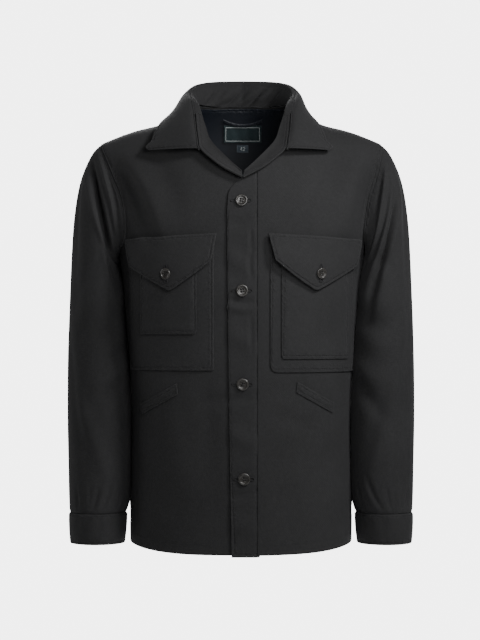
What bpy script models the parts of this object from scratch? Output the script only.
"""Overshirt of heavy wool cloth in the hollow form it has when worn.

Metres, +Z up. The garment faces -Y and the wearer's left is +X. The origin is at the base of the
neck, midway between the highest points of the shoulders, where the wearer carries it.
"""

import math

import bmesh
import bpy
import numpy as np

# Cloth and seams
cloth = 0.0018
doubled = 0.0026
seam_gap = 0.0004
lay_gap = 0.0009
inner_gap = 0.0014
lining_gap = 0.0020
weld_distance = 0.00002

# Heights of the body
arm_level = -0.250
hem_level = -0.762
hem_rise_at_sides = 0.011
section_power = 2.4

# Body sections: height, half width, depth in front and behind the shoulder line
body_sections = np.array([
    # height, half_width, front, back
    (-0.250, 0.213, 0.150, 0.130),
    (-0.320, 0.204, 0.153, 0.127),
    (-0.420, 0.195, 0.154, 0.119),
    (-0.520, 0.189, 0.153, 0.114),
    (-0.620, 0.190, 0.151, 0.116),
    (-0.700, 0.191, 0.149, 0.119),
    (-0.770, 0.190, 0.148, 0.121),
])
shoulder_width_at_ridge = 0.262

# Shoulder ridge: distance from the centre, height of the ridge in front and behind
shoulder_ridge = np.array([
    # x, front_height, back_height
    (0.000, 0.006, 0.043),
    (0.045, 0.004, 0.026),
    (0.070, 0.002, 0.0085),
    (0.083, 0.000, 0.000),
    (0.110, -0.018, -0.018),
    (0.138, -0.033, -0.033),
    (0.190, -0.047, -0.047),
    (0.243, -0.068, -0.068),
    (0.270, -0.080, -0.080),
])
ridge_depth = 0.008
front_roundness = 2.0
back_roundness = 2.6

# Armhole: turn from the shoulder point down to the armpit, distance from the centre
armhole = np.array([
    # turn, right_front, left_front, back
    (0, 0.243, 0.243, 0.243),
    (30, 0.238, 0.240, 0.239),
    (65, 0.220, 0.230, 0.227),
    (90, 0.204, 0.218, 0.216),
    (109, 0.197, 0.212, 0.211),
    (130, 0.195, 0.208, 0.208),
    (149, 0.197, 0.2085, 0.2075),
    (165, 0.203, 0.2105, 0.209),
    (180, 0.213, 0.213, 0.213),
])
shoulder_point_height = -0.068

# Sleeve rings: outer and inner edge seen from the front, half depth and lean
sleeve_rings = np.array([
    # outer_x, outer_z, inner_x, inner_z, half_depth, centre_y
    (0.2440, -0.0685, 0.2145, -0.2505, 0.080, 0.008),
    (0.2600, -0.0880, 0.2195, -0.2570, 0.080, 0.006),
    (0.2770, -0.1300, 0.2185, -0.2740, 0.079, 0.003),
    (0.2860, -0.1850, 0.2060, -0.3000, 0.078, 0.000),
    (0.2915, -0.2500, 0.1960, -0.3350, 0.075, -0.002),
    (0.2960, -0.3550, 0.1930, -0.4050, 0.070, -0.005),
    (0.2985, -0.4500, 0.1905, -0.4750, 0.066, -0.009),
    (0.2985, -0.5400, 0.1860, -0.5500, 0.062, -0.015),
    (0.2965, -0.6200, 0.1840, -0.6230, 0.058, -0.021),
    (0.2955, -0.6650, 0.1872, -0.6665, 0.055, -0.024),
    (0.2940, -0.7000, 0.1960, -0.7000, 0.052, -0.027),
])
armpit_room = 0.0022
body_room = 0.0012
cuff_height = 0.053
cuff_flare = -0.003

# Front opening and placket
front_edge = 0.0235
placket_side = 0.0275
placket_lift = doubled + 0.0010
lift_reach = 0.060
placket_top = np.array([
    # x, height of the placket's top edge
    (-0.0235, -0.1800),
    (-0.0215, -0.1620),
    (-0.0150, -0.1480),
    (-0.0040, -0.1390),
    (0.0040, -0.1320),
    (0.0275, -0.1050),
])

# Neckline, from the front edge to the neck point, and how the collar stands on it
neck_shift = 0.003
neck_front = np.array([
    # x, height
    (0.0040, -0.1320),
    (0.0285, -0.1045),
    (0.0455, -0.0855),
    (0.0575, -0.0665),
    (0.0660, -0.0460),
    (0.0730, -0.0260),
    (0.0830, 0.0000),
])
neck_back = np.array([
    # x, y
    (0.0830, 0.008),
    (0.0700, 0.044),
    (0.0450, 0.068),
    (0.0000, 0.080),
])

# Collar stations from the front end round to the centre back: seam, roll and leaf edge
collar_stations = np.array([
    # seam_x, seam_y, seam_z, roll_x, roll_y, roll_z, edge_x, edge_y, edge_z
    (0.0020, -0.1370, -0.1240, 0.0010, -0.1450, -0.1350, 0.0010, -0.1450, -0.1350),
    (0.0280, -0.1262, -0.0990, 0.0300, -0.1410, -0.1200, 0.0300, -0.1410, -0.1200),
    (0.0445, -0.1162, -0.0820, 0.0520, -0.1340, -0.1040, 0.0520, -0.1340, -0.1040),
    (0.0520, -0.1103, -0.0730, 0.0710, -0.1240, -0.0860, 0.1510, -0.0910, -0.0860),
    (0.0570, -0.1038, -0.0640, 0.0745, -0.1150, -0.0700, 0.1480, -0.0775, -0.0680),
    (0.0620, -0.0903, -0.0470, 0.0775, -0.0980, -0.0480, 0.1420, -0.0530, -0.0480),
    (0.0680, -0.0730, -0.0290, 0.0800, -0.0740, -0.0240, 0.1340, -0.0240, -0.0310),
    (0.0760, -0.0370, -0.0040, 0.0845, -0.0360, 0.0015, 0.1220, 0.0120, -0.0170),
    (0.0815, 0.0080, 0.0040, 0.0880, 0.0110, 0.0210, 0.1110, 0.0400, -0.0090),
    (0.0690, 0.0450, 0.0040, 0.0760, 0.0490, 0.0390, 0.0920, 0.0740, -0.0060),
    (0.0445, 0.0690, 0.0040, 0.0500, 0.0740, 0.0465, 0.0600, 0.0960, -0.0070),
    (0.0000, 0.0810, 0.0040, 0.0000, 0.0860, 0.0490, 0.0000, 0.1060, -0.0080),
])
leaf_first_station = 3
leaf_bulge = 0.010
leaf_lift = 0.0022
tip_spread = 0.006

# Chest pockets, from the wearer's right: inner and outer side, top and bottom
pocket_outlines = {
    "right": dict(inner=0.0447, outer=0.1870, top=-0.2400, bottom=-0.4560, corner=0.002),
    "left": dict(inner=0.0480, outer=0.1900, top=-0.2400, bottom=-0.4590, corner=0.012),
}
pouch_outlines = {
    "right": dict(inner=0.0730, outer=0.1660, top=-0.2520, bottom=-0.3960, corner=0.006),
    "left": dict(inner=0.0660, outer=0.1770, top=-0.2520, bottom=-0.4370, corner=0.006),
}
flap_outlines = {
    "right": dict(inner=0.0400, outer=0.1900, top=-0.2285, outer_drop=0.0070, taper=0.008,
                  side=0.0460, point=0.0925),
    "left": dict(inner=0.0440, outer=0.1985, top=-0.2285, outer_drop=0.0070, taper=0.010,
                 side=0.0450, point=0.0920),
}
welt_length = 0.072
welt_width = 0.0210
welt_slope = math.radians(-30)
welt_place = {"right": (0.1060, -0.4770), "left": (0.0930, -0.4740)}

# Buttons
button_heights = (-0.1740, -0.3235, -0.4785, -0.6350)
button_x = 0.0030
button_radius = 0.0102
button_thickness = 0.0034
flap_button_radius = 0.0092
flap_button_place = {"right": (0.1245, -0.2955), "left": (0.1330, -0.2945)}

# Inside of the back
lining_bottom = -0.290
label_size = (0.069, 0.030)
size_tag_size = (0.021, 0.013)

# Main folds: a soft trough or ridge between two places, depth outwards
front_folds = {
    "right": np.array([
        # x0, z0, x1, z1, half_breadth, depth
        (0.215, -0.105, 0.165, -0.205, 0.016, -0.0050),
        (0.200, -0.120, 0.130, -0.215, 0.018, 0.0035),
        (0.186, -0.470, 0.150, -0.600, 0.024, -0.0030),
    ]),
    "left": np.array([
        (0.214, -0.085, 0.176, -0.200, 0.016, -0.0045),
        (0.196, -0.090, 0.135, -0.210, 0.020, 0.0030),
        (0.180, -0.570, 0.130, -0.640, 0.026, -0.0030),
    ]),
}
back_folds = np.array([
    (0.205, -0.150, 0.150, -0.330, 0.022, -0.0060),
    (0.175, -0.130, 0.120, -0.260, 0.022, 0.0035),
    (0.120, -0.480, 0.060, -0.640, 0.030, 0.0030),
])
fold_fade = 0.060
# Sleeve folds: turn round the sleeve in degrees, place down it (0 to 1), breadths, depth
sleeve_folds = np.array([
    # turn0, down0, turn1, down1, half_breadth, depth
    (38, 0.05, 96, 0.40, 0.017, -0.0075),
    (66, 0.02, 122, 0.34, 0.014, 0.0055),
    (20, 0.20, 40, 0.46, 0.016, -0.0030),
    (150, 0.44, 70, 0.52, 0.016, -0.0050),
    (165, 0.55, 84, 0.62, 0.016, 0.0040),
    (300, 0.08, 262, 0.38, 0.018, -0.0060),
    (230, 0.45, 300, 0.55, 0.017, -0.0045),
    (100, 0.86, 60, 0.96, 0.012, 0.0030),
])

# Mesh steps
upper_rows = 13
lower_rows = 11
front_columns = 13
armhole_steps = 12
ridge_turn = 4.0
ring_points = 2 * armhole_steps


def clear_scene():
    for thing in list(bpy.data.objects):
        bpy.data.objects.remove(thing)


def cloth_material(name, colour, roughness, metallic=0.0):
    material = bpy.data.materials.new(name)
    material.use_nodes = True
    shader = material.node_tree.nodes["Principled BSDF"]
    shader.inputs["Base Color"].default_value = (*colour, 1.0)
    shader.inputs["Roughness"].default_value = roughness
    shader.inputs["Metallic"].default_value = metallic
    return material


def table(rows, column, at):
    """A column of a table read at any value of its first column."""
    order = np.argsort(rows[:, 0])
    return np.interp(at, rows[order, 0], rows[order, column])


def smooth_rows(rows, count):
    """A smooth curve through a table's rows (Catmull-Rom), at evenly spread parameters."""
    rows = np.asarray(rows, float)
    padded = np.vstack([2 * rows[0] - rows[1], rows, 2 * rows[-1] - rows[-2]])
    at = np.linspace(0, len(rows) - 1, count)
    span = np.clip(at.astype(int), 0, len(rows) - 2)
    t = (at - span)[:, None]
    a, b, c, d = (padded[span + k] for k in range(4))
    return 0.5 * (2 * b + (c - a) * t + (2 * a - 5 * b + 4 * c - d) * t ** 2
                  + (3 * b - a - 3 * c + d) * t ** 3)


def even_curve(points, count):
    """Points spread evenly along a polyline."""
    steps = np.linalg.norm(np.diff(points, axis=0), axis=1)
    along = np.concatenate([[0], np.cumsum(steps)])
    at = np.linspace(0, along[-1], count)
    return np.column_stack([np.interp(at, along, points[:, k]) for k in range(points.shape[1])])


def smooth_step(value):
    value = np.clip(value, 0, 1)
    return value * value * (3 - 2 * value)


def fold_height(x, z, folds):
    """Sum of soft troughs and ridges: a bell across each line that fades out at its ends."""
    height = np.zeros(np.broadcast(x, z).shape)
    for x0, z0, x1, z1, breadth, depth in folds:
        run = np.hypot(x1 - x0, z1 - z0)
        along = ((x - x0) * (x1 - x0) + (z - z0) * (z1 - z0)) / run
        across = ((x - x0) * (z1 - z0) - (z - z0) * (x1 - x0)) / run
        fade = np.clip(np.maximum(-along, along - run), 0, None)
        height = height + depth * np.exp(-(across / breadth) ** 2 - (fade / (1.6 * breadth)) ** 2)
    return height


def wall_y(x, z, facing):
    """Depth of the body's outer face at a place seen from the front (facing -1) or behind (+1)."""
    column = 1 if facing < 0 else 2
    ridge = table(shoulder_ridge, column, np.abs(x))
    drop = np.clip((ridge - z) / (ridge - arm_level), 0, 1)
    roundness = front_roundness if facing < 0 else back_roundness
    rise = (1 - (1 - drop) ** 2) ** (1 / roundness)
    level = np.minimum(z, arm_level)
    half_width = table(body_sections, 1, level) + (
        shoulder_width_at_ridge - body_sections[0, 1]) * (1 - drop)
    depth = table(body_sections, 2 if facing < 0 else 3, level)
    reach = (1 - np.clip(np.abs(x) / half_width, 0, 1) ** section_power) ** (1 / section_power)
    centre = ridge_depth * (1 - rise)
    return centre + facing * depth * reach * rise


def armhole_curve(side, facing, turn):
    """The armhole seen from the front: x and z for each turn from shoulder point to armpit."""
    column = 3 if facing > 0 else (1 if side < 0 else 2)
    smooth = smooth_rows(armhole, 97)
    x = np.interp(turn, smooth[:, 0], smooth[:, column])
    z = arm_level + (shoulder_point_height - arm_level) * (1 + np.cos(np.radians(turn))) / 2
    return np.column_stack([x, z])


def body_grid(side, facing, inner_x, inner_top):
    """Half of the body as rows of (x, z), hem first: even steps along each section's curve below
    the arm, and a Coons patch between centre line, neckline, shoulder and armhole above it.
    x is measured towards the side seam."""
    rows = []
    for level in np.linspace(hem_level, arm_level, lower_rows + 1):
        width = table(body_sections, 1, level)
        sweep = np.linspace(0, 1, 241)
        x = inner_x + (width - inner_x) * np.sin(sweep * np.pi / 2)
        y = wall_y(x, np.full_like(x, level), facing)
        x = even_curve(np.column_stack([x, y]), front_columns + 1)[:, 0]
        x[-1] = width
        low = np.clip((arm_level - level) / (arm_level - hem_level), 0, 1) ** 4
        lift = hem_rise_at_sides * low * (np.abs(x) / width) ** 4
        rows.append(np.column_stack([x, level + lift]))
    bottom = rows[-1]
    falls = np.append(np.linspace(0, 1, armhole_steps + 1)[:-1], [0.985, 1.0])
    share = ((bottom[:, 0] - bottom[0, 0]) / (bottom[-1, 0] - bottom[0, 0]))[:, None]
    turn = np.linspace(0, 180, armhole_steps + 1)
    outer = armhole_curve(side, facing, np.insert(turn, 1, ridge_turn))[::-1]
    neck_x, neck_z = inner_top[-1]
    top_x = neck_x + (outer[-1, 0] - neck_x) * share[:, 0]
    top = np.column_stack([top_x, table(shoulder_ridge, 1 if facing < 0 else 2, top_x)])
    top[-1] = outer[-1]
    inner = inner_top
    for k in range(1, upper_rows + 1):
        v = falls[k]
        ruled = (1 - v) * bottom + v * top + (1 - share) * inner[k] + share * outer[k]
        corners = ((1 - share) * ((1 - v) * bottom[0] + v * top[0])
                   + share * ((1 - v) * bottom[-1] + v * top[-1]))
        rows.append(ruled - corners)
    grid = np.array(rows)
    grid[-1] = top
    return grid


def front_y(x, z, side, lifted):
    """Depth of a front's outer face, folds included; the lapping front rises towards its edge."""
    folds = front_folds["left" if side > 0 else "right"]
    lift = placket_lift * (1 - smooth_step((x - placket_side) / lift_reach)) if lifted else 0
    y = wall_y(x, z, -1)
    return y - lift - fold_height(x, z, folds) * smooth_step(-y / fold_fade)


def front_points(x, z, side):
    """Places on a front, x towards the side seam, as world points."""
    y = front_y(x, z, side, side > 0)
    return np.stack([side * x, y, z], axis=-1)


def outward(points):
    """Unit normals of a grid of points, from its own steps; -Y side of a front faces out."""
    down = np.gradient(points, axis=0)
    across = np.gradient(points, axis=1)
    normal = np.cross(across, down)
    return normal / np.linalg.norm(normal, axis=-1, keepdims=True)


def add_object(name, vertices, faces, material, thickness=0.0, offset=-1.0):
    mesh = bpy.data.meshes.new(name)
    mesh.from_pydata([tuple(p) for p in vertices], [], faces)
    mesh.update()
    shape = bmesh.new()
    shape.from_mesh(mesh)
    bmesh.ops.remove_doubles(shape, verts=shape.verts, dist=weld_distance)
    shape.to_mesh(mesh)
    shape.free()
    mesh.materials.append(material)
    thing = bpy.data.objects.new(name, mesh)
    collection.objects.link(thing)
    mesh.shade_smooth()
    if thickness:
        wall = thing.modifiers.new("wall", "SOLIDIFY")
        wall.thickness = thickness
        wall.offset = offset
    return thing


def grid_faces(rows, columns, ring, first):
    """Quads between neighbouring rows and columns, vertices counted from first."""
    faces = []
    for i in range(rows - 1):
        for j in range(columns if ring else columns - 1):
            k = (j + 1) % columns
            corners = (i * columns + j, i * columns + k, (i + 1) * columns + k,
                       (i + 1) * columns + j)
            faces.append(tuple(first + corner for corner in corners))
    return faces


def add_sheet(name, grids, material, thickness, away, ring=False, offset=-1.0):
    """A wall through one grid of points, or through several that share an edge. Its outer face
    looks the way that away gives for a place on it, and the wall lies behind it."""
    if not isinstance(grids, list):
        grids = [grids]
    faces = []
    points = np.concatenate([grid.reshape(-1, 3) for grid in grids])
    first = 0
    for grid in grids:
        rows, columns = grid.shape[:2]
        faces += grid_faces(rows, columns, ring, first)
        first += rows * columns
    columns = grids[0].shape[1]
    middle = faces[len(faces) // (2 * len(grids)) + columns // 3]
    a, b, c, d = (points[k] for k in middle)
    facing = np.dot(np.cross(c - a, d - b), away(np.mean([a, b, c, d], axis=0)))
    if facing < 0:
        faces = [face[::-1] for face in faces]
    return add_object(name, points, faces, material, thickness, offset)


def shrink_edge(grid, axis, end, gap):
    """Draw one edge of a grid back along its rows or columns by a seam's gap."""
    grid = grid.copy()
    view = grid if axis == 0 else grid.swapaxes(0, 1)
    edge, inner = (0, 1) if end == 0 else (-1, -2)
    step = view[inner] - view[edge]
    size = np.linalg.norm(step, axis=-1, keepdims=True)
    view[edge] = view[edge] + step * (gap / size)
    return grid


def neckline_for(side):
    """The neckline as (x, z) from front edge to neck point, shifted with the neck's centre."""
    curve = smooth_rows(neck_front, 40)
    share = 1 - np.linspace(0, 1, 40) ** 3
    curve[:, 0] += side * neck_shift * share
    return curve


def inner_line(up, neck, neck_steps):
    """The inner edge of a half of the body: even steps up its front or centre line, then even
    steps round the neckline, so that their corner keeps a row of its own."""
    up = even_curve(np.array(up), armhole_steps - neck_steps + 1)
    line = np.vstack([up, even_curve(neck, neck_steps + 1)[1:]])
    return np.insert(line, -1, line[-1] + (line[-2] - line[-1]) * 0.12, axis=0)


def make_fronts(material):
    neck = neckline_for(1)
    corner = (placket_side, np.interp(placket_side, neck[:, 0], neck[:, 1]))
    neck = np.vstack([[corner], neck[neck[:, 0] > placket_side]])
    left = body_grid(1, -1, placket_side, inner_line([(placket_side, arm_level), corner], neck, 6))
    neck = neckline_for(-1)
    edge = [(-front_edge, arm_level), (-front_edge, -0.175), (-0.012, -0.147), neck[0]]
    right = body_grid(-1, -1, -front_edge, inner_line(edge, neck, 6))
    for name, flat, side in (("front_left", left, 1), ("front_right", right, -1)):
        grid = front_points(flat[..., 0], flat[..., 1], side)
        grid = shrink_edge(grid, 1, 1, seam_gap)
        grid = shrink_edge(grid, 0, 1, seam_gap)
        add_sheet(name, grid, material, cloth, lambda p: np.array([0, -1, 0]))


def back_points(x, z):
    y = wall_y(x, z, 1)
    y = y + fold_height(np.abs(x), z, back_folds) * smooth_step(y / fold_fade)
    return np.stack([x, y, z], axis=-1)


def neck_back_curve(count):
    """The back neckline as (x, z), z found where the back's face has the neckline's depth."""
    curve = smooth_rows(neck_back, count)
    heights = np.linspace(0.035, -0.06, 400)
    z = []
    for x, y in curve:
        depth = wall_y(np.full_like(heights, x), heights, 1)
        z.append(np.interp(y, depth, heights))
    z[0] = 0.0
    return np.column_stack([curve[:, 0], z])


def make_back(material):
    neck = neck_back_curve(24)[::-1]
    half = body_grid(1, 1, 0.0, inner_line([(0.0, arm_level), neck[0]], neck, 4))
    left = back_points(half[..., 0], half[..., 1])
    left = shrink_edge(left, 1, 1, seam_gap)
    left = shrink_edge(left, 0, 1, seam_gap)
    right = left[:, ::-1] * np.array([-1, 1, 1])
    # the halves share their centre line below the neck and part round it above
    return add_sheet("back", [right, left], material, cloth, lambda p: np.array([0, 1, 0]))


def make_placket(material):
    """The band from the hem to the neckline, level with the lapping front's outer face."""
    columns = 5
    x = np.linspace(-front_edge, placket_side - seam_gap, columns)
    share = np.linspace(0, 1, 44)[:, None]
    z = hem_level - 0.003 + share * (table(placket_top, 1, x) - hem_level + 0.003)
    x = np.broadcast_to(x, z.shape)
    y = wall_y(x, z, -1) - placket_lift
    grid = np.stack([x, y, z], axis=-1)
    return add_sheet("placket", grid, material, doubled, lambda p: np.array([0, -1, 0]))


def clear_of_body(grid):
    """Press a sleeve's inner side flat where it would meet the body's section at its height."""
    x, y, z = grid[..., 0], grid[..., 1], np.minimum(grid[..., 2], arm_level)
    width = table(body_sections, 1, z)
    depth = np.where(y < ridge_depth, table(body_sections, 2, z), table(body_sections, 3, z))
    inset = np.clip(np.abs(y) / depth, 0, 1) ** section_power
    near_armpit = np.exp((grid[..., 2] - arm_level) / 0.030)
    room = body_room + armpit_room * np.minimum(near_armpit, 1)
    limit = width * (1 - inset) ** (1 / section_power) + room
    below = smooth_step((arm_level - grid[..., 2]) / 0.006)
    grid[..., 0] = x + below * np.maximum(limit - x, 0)


def sleeve_grid(side):
    """Rings down a sleeve. Each ring is an ellipse between its outer and inner edge; the first
    is the armhole itself, and the rings below take on the ellipse by degrees."""
    rows = 26
    rings = smooth_rows(sleeve_rings, rows)
    turn = np.linspace(0, 2 * np.pi, ring_points, endpoint=False)
    centre = (rings[:, 0:2] + rings[:, 2:4]) / 2
    half = (rings[:, 0:2] - rings[:, 2:4]) / 2
    x = centre[:, :1] + half[:, :1] * np.cos(turn)
    z = centre[:, 1:] + half[:, 1:] * np.cos(turn)
    y = rings[:, 5:] - rings[:, 4:5] * np.sin(turn)
    grid = np.stack([x, y, z], axis=-1)
    hole_turn = np.linspace(0, 180, armhole_steps + 1)
    front = armhole_curve(side, -1, hole_turn)
    back = armhole_curve(side, 1, hole_turn)
    front_hole = np.column_stack([front[:, 0], front_y(front[:, 0], front[:, 1], side, side > 0),
                                  front[:, 1]])
    back_hole = back_points(back[:, 0], back[:, 1])
    hole = np.vstack([front_hole, back_hole[-2:0:-1]])
    down = np.linspace(0, 1, rows)
    weight = (1 - smooth_step(down / 0.30))[:, None, None]
    grid = grid + (hole - grid[0]) * weight
    normal = ring_normals(grid)
    degrees = np.degrees(turn)[None, :]
    reach = 0.075 * np.radians(degrees)
    length = 0.60 * down[:, None]
    lines = [(0.075 * math.radians(t0), 0.60 * d0, 0.075 * math.radians(t1), 0.60 * d1, b, h)
             for t0, d0, t1, d1, b, h in sleeve_folds]
    height = fold_height(reach, length, lines) * smooth_step(down / 0.12)[:, None]
    height *= smooth_step((1 - down) / 0.06)[:, None]
    grid = grid + normal * height[..., None]
    # step clear of the armhole's edge, most of all at the armpit
    grid[0, :, 0] += seam_gap * (2.4 - np.cos(turn))
    grid[1:3, :, 0] += armpit_room * (1 - np.cos(turn)) / 2
    clear_of_body(grid)
    grid[..., 0] *= side
    return grid


def ring_normals(grid):
    across = np.roll(grid, -1, axis=1) - np.roll(grid, 1, axis=1)
    down = np.gradient(grid, axis=0)
    normal = np.cross(across, down)
    normal /= np.linalg.norm(normal, axis=-1, keepdims=True)
    centre = grid.mean(axis=1, keepdims=True)
    if np.mean(np.sum(normal * (grid - centre), axis=-1)) < 0:
        normal = -normal
    return normal


def make_sleeves(material):
    for name, side in (("left", 1), ("right", -1)):
        grid = sleeve_grid(side)
        add_sheet("sleeve_" + name, grid, material, cloth,
                  lambda p, s=side: p - np.array([s * 0.248, -0.01, p[2]]), ring=True)
        wrist = grid[-1]
        centre = wrist.mean(axis=0)
        rows = []
        for share in np.linspace(0, 1, 3):
            ring = centre + (wrist - centre) * (1 + (0.0008 + cuff_flare * share) / 0.045)
            ring[:, 2] = wrist[:, 2] - 0.0004 - cuff_height * share
            ring[:, 0] += side * 0.001 * share
            rows.append(ring)
        add_sheet("cuff_" + name, np.array(rows), material, doubled,
                  lambda p, c=centre: p - np.array([c[0], c[1], p[2]]), ring=True)


def collar_curves(count):
    """Seam, roll and edge of the collar from the right end round the back to the left end."""
    half = smooth_rows(collar_stations, count)
    right = half.copy()
    right[:, 0::3] *= -1
    shift = np.ones(len(half))
    around = np.vstack([right, half[::-1][1:]])
    around[:, 0::3] += neck_shift * np.concatenate([shift, shift[1:]])[:, None]
    return around


def make_collar(stand_material, leaf_material):
    count = 2 * (len(collar_stations) - 1) + 1
    curves = collar_curves(count)
    seam, roll, edge = curves[:, 0:3], curves[:, 3:6], curves[:, 6:9]
    share = np.linspace(0, 1, 5)[:, None, None]
    outwards = roll - np.array([neck_shift, -0.02, 0])
    outwards[:, 2] = 0
    outwards /= np.linalg.norm(outwards, axis=1, keepdims=True)
    bow = 0.0030 * np.sin(np.pi * share)
    stand = (1 - share) * seam + share * roll - outwards * bow
    add_sheet("collar_stand", stand, stand_material, doubled,
              lambda p: np.array([0, 0.0, 0.0]) - p * np.array([1, 1, 0]), offset=0.0)
    first = leaf_first_station * (count - 1) // (len(collar_stations) - 1)
    roll, edge, outwards = (a[first:-first] for a in (roll, edge, outwards))
    side = np.sign(edge[:, :1]) * smooth_step(np.abs(edge[:, :1]) / 0.15)
    edge = edge + np.array([-tip_spread, 0, 0]) * np.abs(side)
    share = np.linspace(0, 1, 7)[:, None, None]
    start = roll + np.array([0, 0, 0.5]) * leaf_lift + outwards * leaf_lift
    leaf = (1 - share) * start + share * edge
    bulge = leaf_bulge * np.sin(np.pi * share ** 0.6)
    leaf = leaf + (outwards * 0.6 + np.array([0, 0, 0.8])) * bulge
    add_sheet("collar_leaf", leaf, leaf_material, doubled,
              lambda p: p * np.array([1, 1, 0]) + np.array([0, 0, 0.1]))


def patch_on_front(name, outline, side, material, level, thickness, rows=9, columns=11):
    """A patch with sides at inner and outer x and one rounded corner, laid on a front."""
    u = 1 - np.linspace(1, 0, columns) ** 1.4
    v = np.linspace(0, 1, rows)[:, None]
    x = outline["inner"] + (outline["outer"] - outline["inner"]) * u
    cut = outline["corner"] * (1 - smooth_step((x - outline["inner"]) / (3 * outline["corner"])))
    z = outline["bottom"] + cut + v * (outline["top"] - outline["bottom"] - cut)
    x = np.broadcast_to(x, z.shape)
    points = front_points(x, z, side)
    normal = outward(points)
    normal = normal * -np.sign(normal[..., 1:2])
    points = points + normal * level
    return add_sheet(name, points, material, thickness, lambda p: np.array([0, -1, 0]))


def make_pockets(material):
    patch_thickness = 0.0014
    first = lay_gap + patch_thickness
    for name, side in (("left", 1), ("right", -1)):
        patch_on_front("pocket_" + name, pocket_outlines[name], side, material,
                       first, patch_thickness)
        patch_on_front("pouch_" + name, pouch_outlines[name], side, material,
                       2 * first, patch_thickness)
        make_flap(name, side, material, 2 * first + lay_gap + doubled)
        make_welt(name, side, material, lay_gap + doubled)


def flap_points(name, side, level):
    """Columns from the inner to the outer end; each hangs from the top edge to the pointed
    lower edge, and the ends slope in a little."""
    outline = flap_outlines[name]
    u = np.linspace(0, 1, 9)
    v = np.linspace(0, 1, 6)[:, None]
    top = outline["top"] - outline["outer_drop"] * u
    drop = outline["side"] + (outline["point"] - outline["side"]) * (1 - np.abs(2 * u - 1))
    width = outline["outer"] - outline["inner"]
    x = outline["inner"] + width * u + outline["taper"] * v * (1 - 2 * u) * np.abs(1 - 2 * u)
    z = top - v * drop
    points = front_points(x, z, side)
    normal = outward(points)
    normal = normal * -np.sign(normal[..., 1:2])
    return points + normal * level


def make_flap(name, side, material, level):
    points = flap_points(name, side, level)
    add_sheet("flap_" + name, points, material, doubled, lambda p: np.array([0, -1, 0]))


def make_welt(name, side, material, level):
    x0, z0 = welt_place[name]
    u = np.linspace(0, 1, 5)
    v = np.linspace(0, 1, 3)[:, None]
    along = np.array([math.cos(welt_slope), math.sin(welt_slope)]) * welt_length
    across = np.array([math.sin(welt_slope), -math.cos(welt_slope)]) * welt_width
    x = x0 + along[0] * u + across[0] * 0.2 * v
    z = z0 + along[1] * u + across[1] * v
    points = front_points(x, z, side)
    normal = outward(points)
    normal = normal * -np.sign(normal[..., 1:2])
    points = points + normal * level
    add_sheet("welt_" + name, points, material, doubled, lambda p: np.array([0, -1, 0]))


def make_button(name, place, facing, radius, material):
    """A turned button: a domed rim round a sunk middle, its back flat on the cloth."""
    profile = [(0.0, 0.60), (0.52, 0.60), (0.66, 0.95), (0.82, 1.0), (0.96, 0.75), (1.0, 0.45),
               (0.86, 0.0), (0.0, 0.0)]
    rim = np.array([(r * radius, h * button_thickness) for r, h in profile])
    curve = bpy.data.meshes.new(name)
    edges = [(k, k + 1) for k in range(len(rim) - 1)]
    curve.from_pydata([(r, 0, h) for r, h in rim], edges, [])
    turned = bpy.data.objects.new(name, curve)
    collection.objects.link(turned)
    screw = turned.modifiers.new("turn", "SCREW")
    screw.steps = 16
    screw.render_steps = 16
    screw.use_merge_vertices = True
    screw.merge_threshold = 0.00001
    curve.materials.append(material)
    spin = np.array([0, 0, 1.0])
    axis = np.cross(spin, facing)
    angle = math.acos(float(np.clip(np.dot(spin, facing), -1, 1)))
    turned.rotation_mode = "AXIS_ANGLE"
    turned.rotation_axis_angle = (angle, *(axis / np.linalg.norm(axis)))
    turned.location = place
    return turned


def placed_on(x, z, side, level):
    """A place and the outward direction on a front, level above its face."""
    step = 0.004
    gx, gz = np.meshgrid([x - step, x, x + step], [z - step, z, z + step])
    points = front_points(gx, gz, side)
    if level is None:
        points[..., 1] = wall_y(gx, gz, -1) - placket_lift
        level = seam_gap
    normal = outward(points)[1, 1]
    normal = normal * -np.sign(normal[1])
    return points[1, 1] + normal * level, normal


def make_buttons(material):
    for k, z in enumerate(button_heights):
        place, facing = placed_on(button_x, z, 1, None)
        make_button(f"button_{k + 1}", place, facing, button_radius, material)
    level = 2 * (lay_gap + 0.0014) + lay_gap + doubled + 0.0004
    for name, side in (("left", 1), ("right", -1)):
        x, z = flap_button_place[name]
        place, facing = placed_on(x, z, side, level)
        make_button("flap_button_" + name, place, facing, flap_button_radius, material)


def inside_back(x, z, depth):
    """A point under the back's outer face, measured in from it."""
    points = back_points(x, z)
    normal = outward(points)
    normal = normal * np.sign(normal[..., 1:2])
    return points - normal * depth


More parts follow.
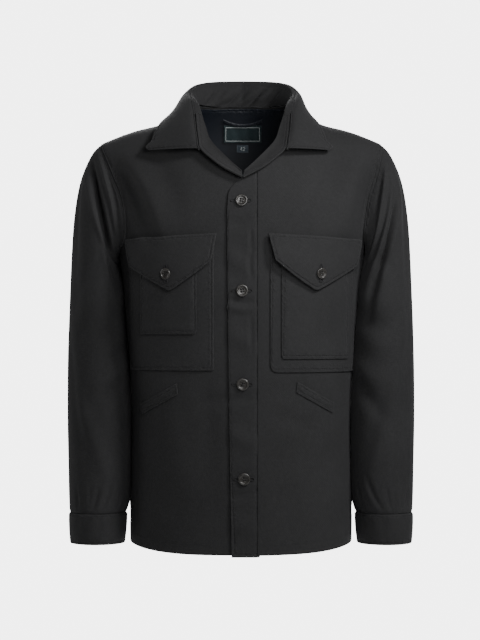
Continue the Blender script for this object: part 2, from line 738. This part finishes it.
def make_inside(lining, label, tag, loop):
    thickness = 0.0010
    depth = cloth + lining_gap + thickness
    v = np.linspace(0, 1, 9)[:, None]
    u = np.linspace(-1, 1, 17)
    top = np.interp(np.abs(u) * 0.125, [0, 0.045, 0.083, 0.125], [-0.009, -0.013, -0.036, -0.058])
    x = (0.125 + 0.030 * (1 - v)) * u
    z = lining_bottom + v * (top - lining_bottom)
    grid = inside_back(x, z, cloth + lining_gap)
    add_sheet("yoke_lining", grid, lining, thickness, lambda p: np.array([0, 1, 0]))
    pieces = (("neck_label", label, label_size, -0.0395, 1.4 * inner_gap),
              ("size_tag", tag, size_tag_size, -0.0700, 0.5 * inner_gap))
    for name, material, (wide, tall), centre, gap in pieces:
        gx, gz = np.meshgrid(np.linspace(-wide / 2, wide / 2, 4) + neck_shift,
                             np.linspace(centre - tall / 2, centre + tall / 2, 4))
        grid = inside_back(gx, gz, depth + gap)
        add_sheet(name, grid, material, 0.0008, lambda p: np.array([0, 1, 0]))
    u = np.linspace(-1, 1, 9)
    gx = np.broadcast_to(0.036 * u, (3, 9)) + neck_shift
    sag = 0.009 * (1 - u ** 2)
    gz = -0.0135 - sag - np.array([0, 0.0025, 0.005])[:, None]
    grid = inside_back(gx, gz, depth + inner_gap)
    grid[..., 1] -= 0.0035 * (1 - u ** 2)
    add_sheet("hanger_loop", grid, loop, 0.0010, lambda p: np.array([0, 1, 0]))


clear_scene()
collection = bpy.data.collections.new("overshirt")
bpy.context.scene.collection.children.link(collection)
wool = cloth_material("charcoal wool", (0.022, 0.022, 0.024), 0.92)
navy = cloth_material("navy lining", (0.010, 0.013, 0.022), 0.55)
woven = cloth_material("woven label", (0.012, 0.020, 0.024), 0.70)
pale = cloth_material("size tag", (0.060, 0.075, 0.095), 0.65)
horn = cloth_material("dark horn", (0.045, 0.040, 0.036), 0.35)
make_fronts(wool)
make_back(wool)
make_placket(wool)
make_sleeves(wool)
make_collar(wool, wool)
make_pockets(wool)
make_buttons(horn)
make_inside(navy, woven, pale, navy)
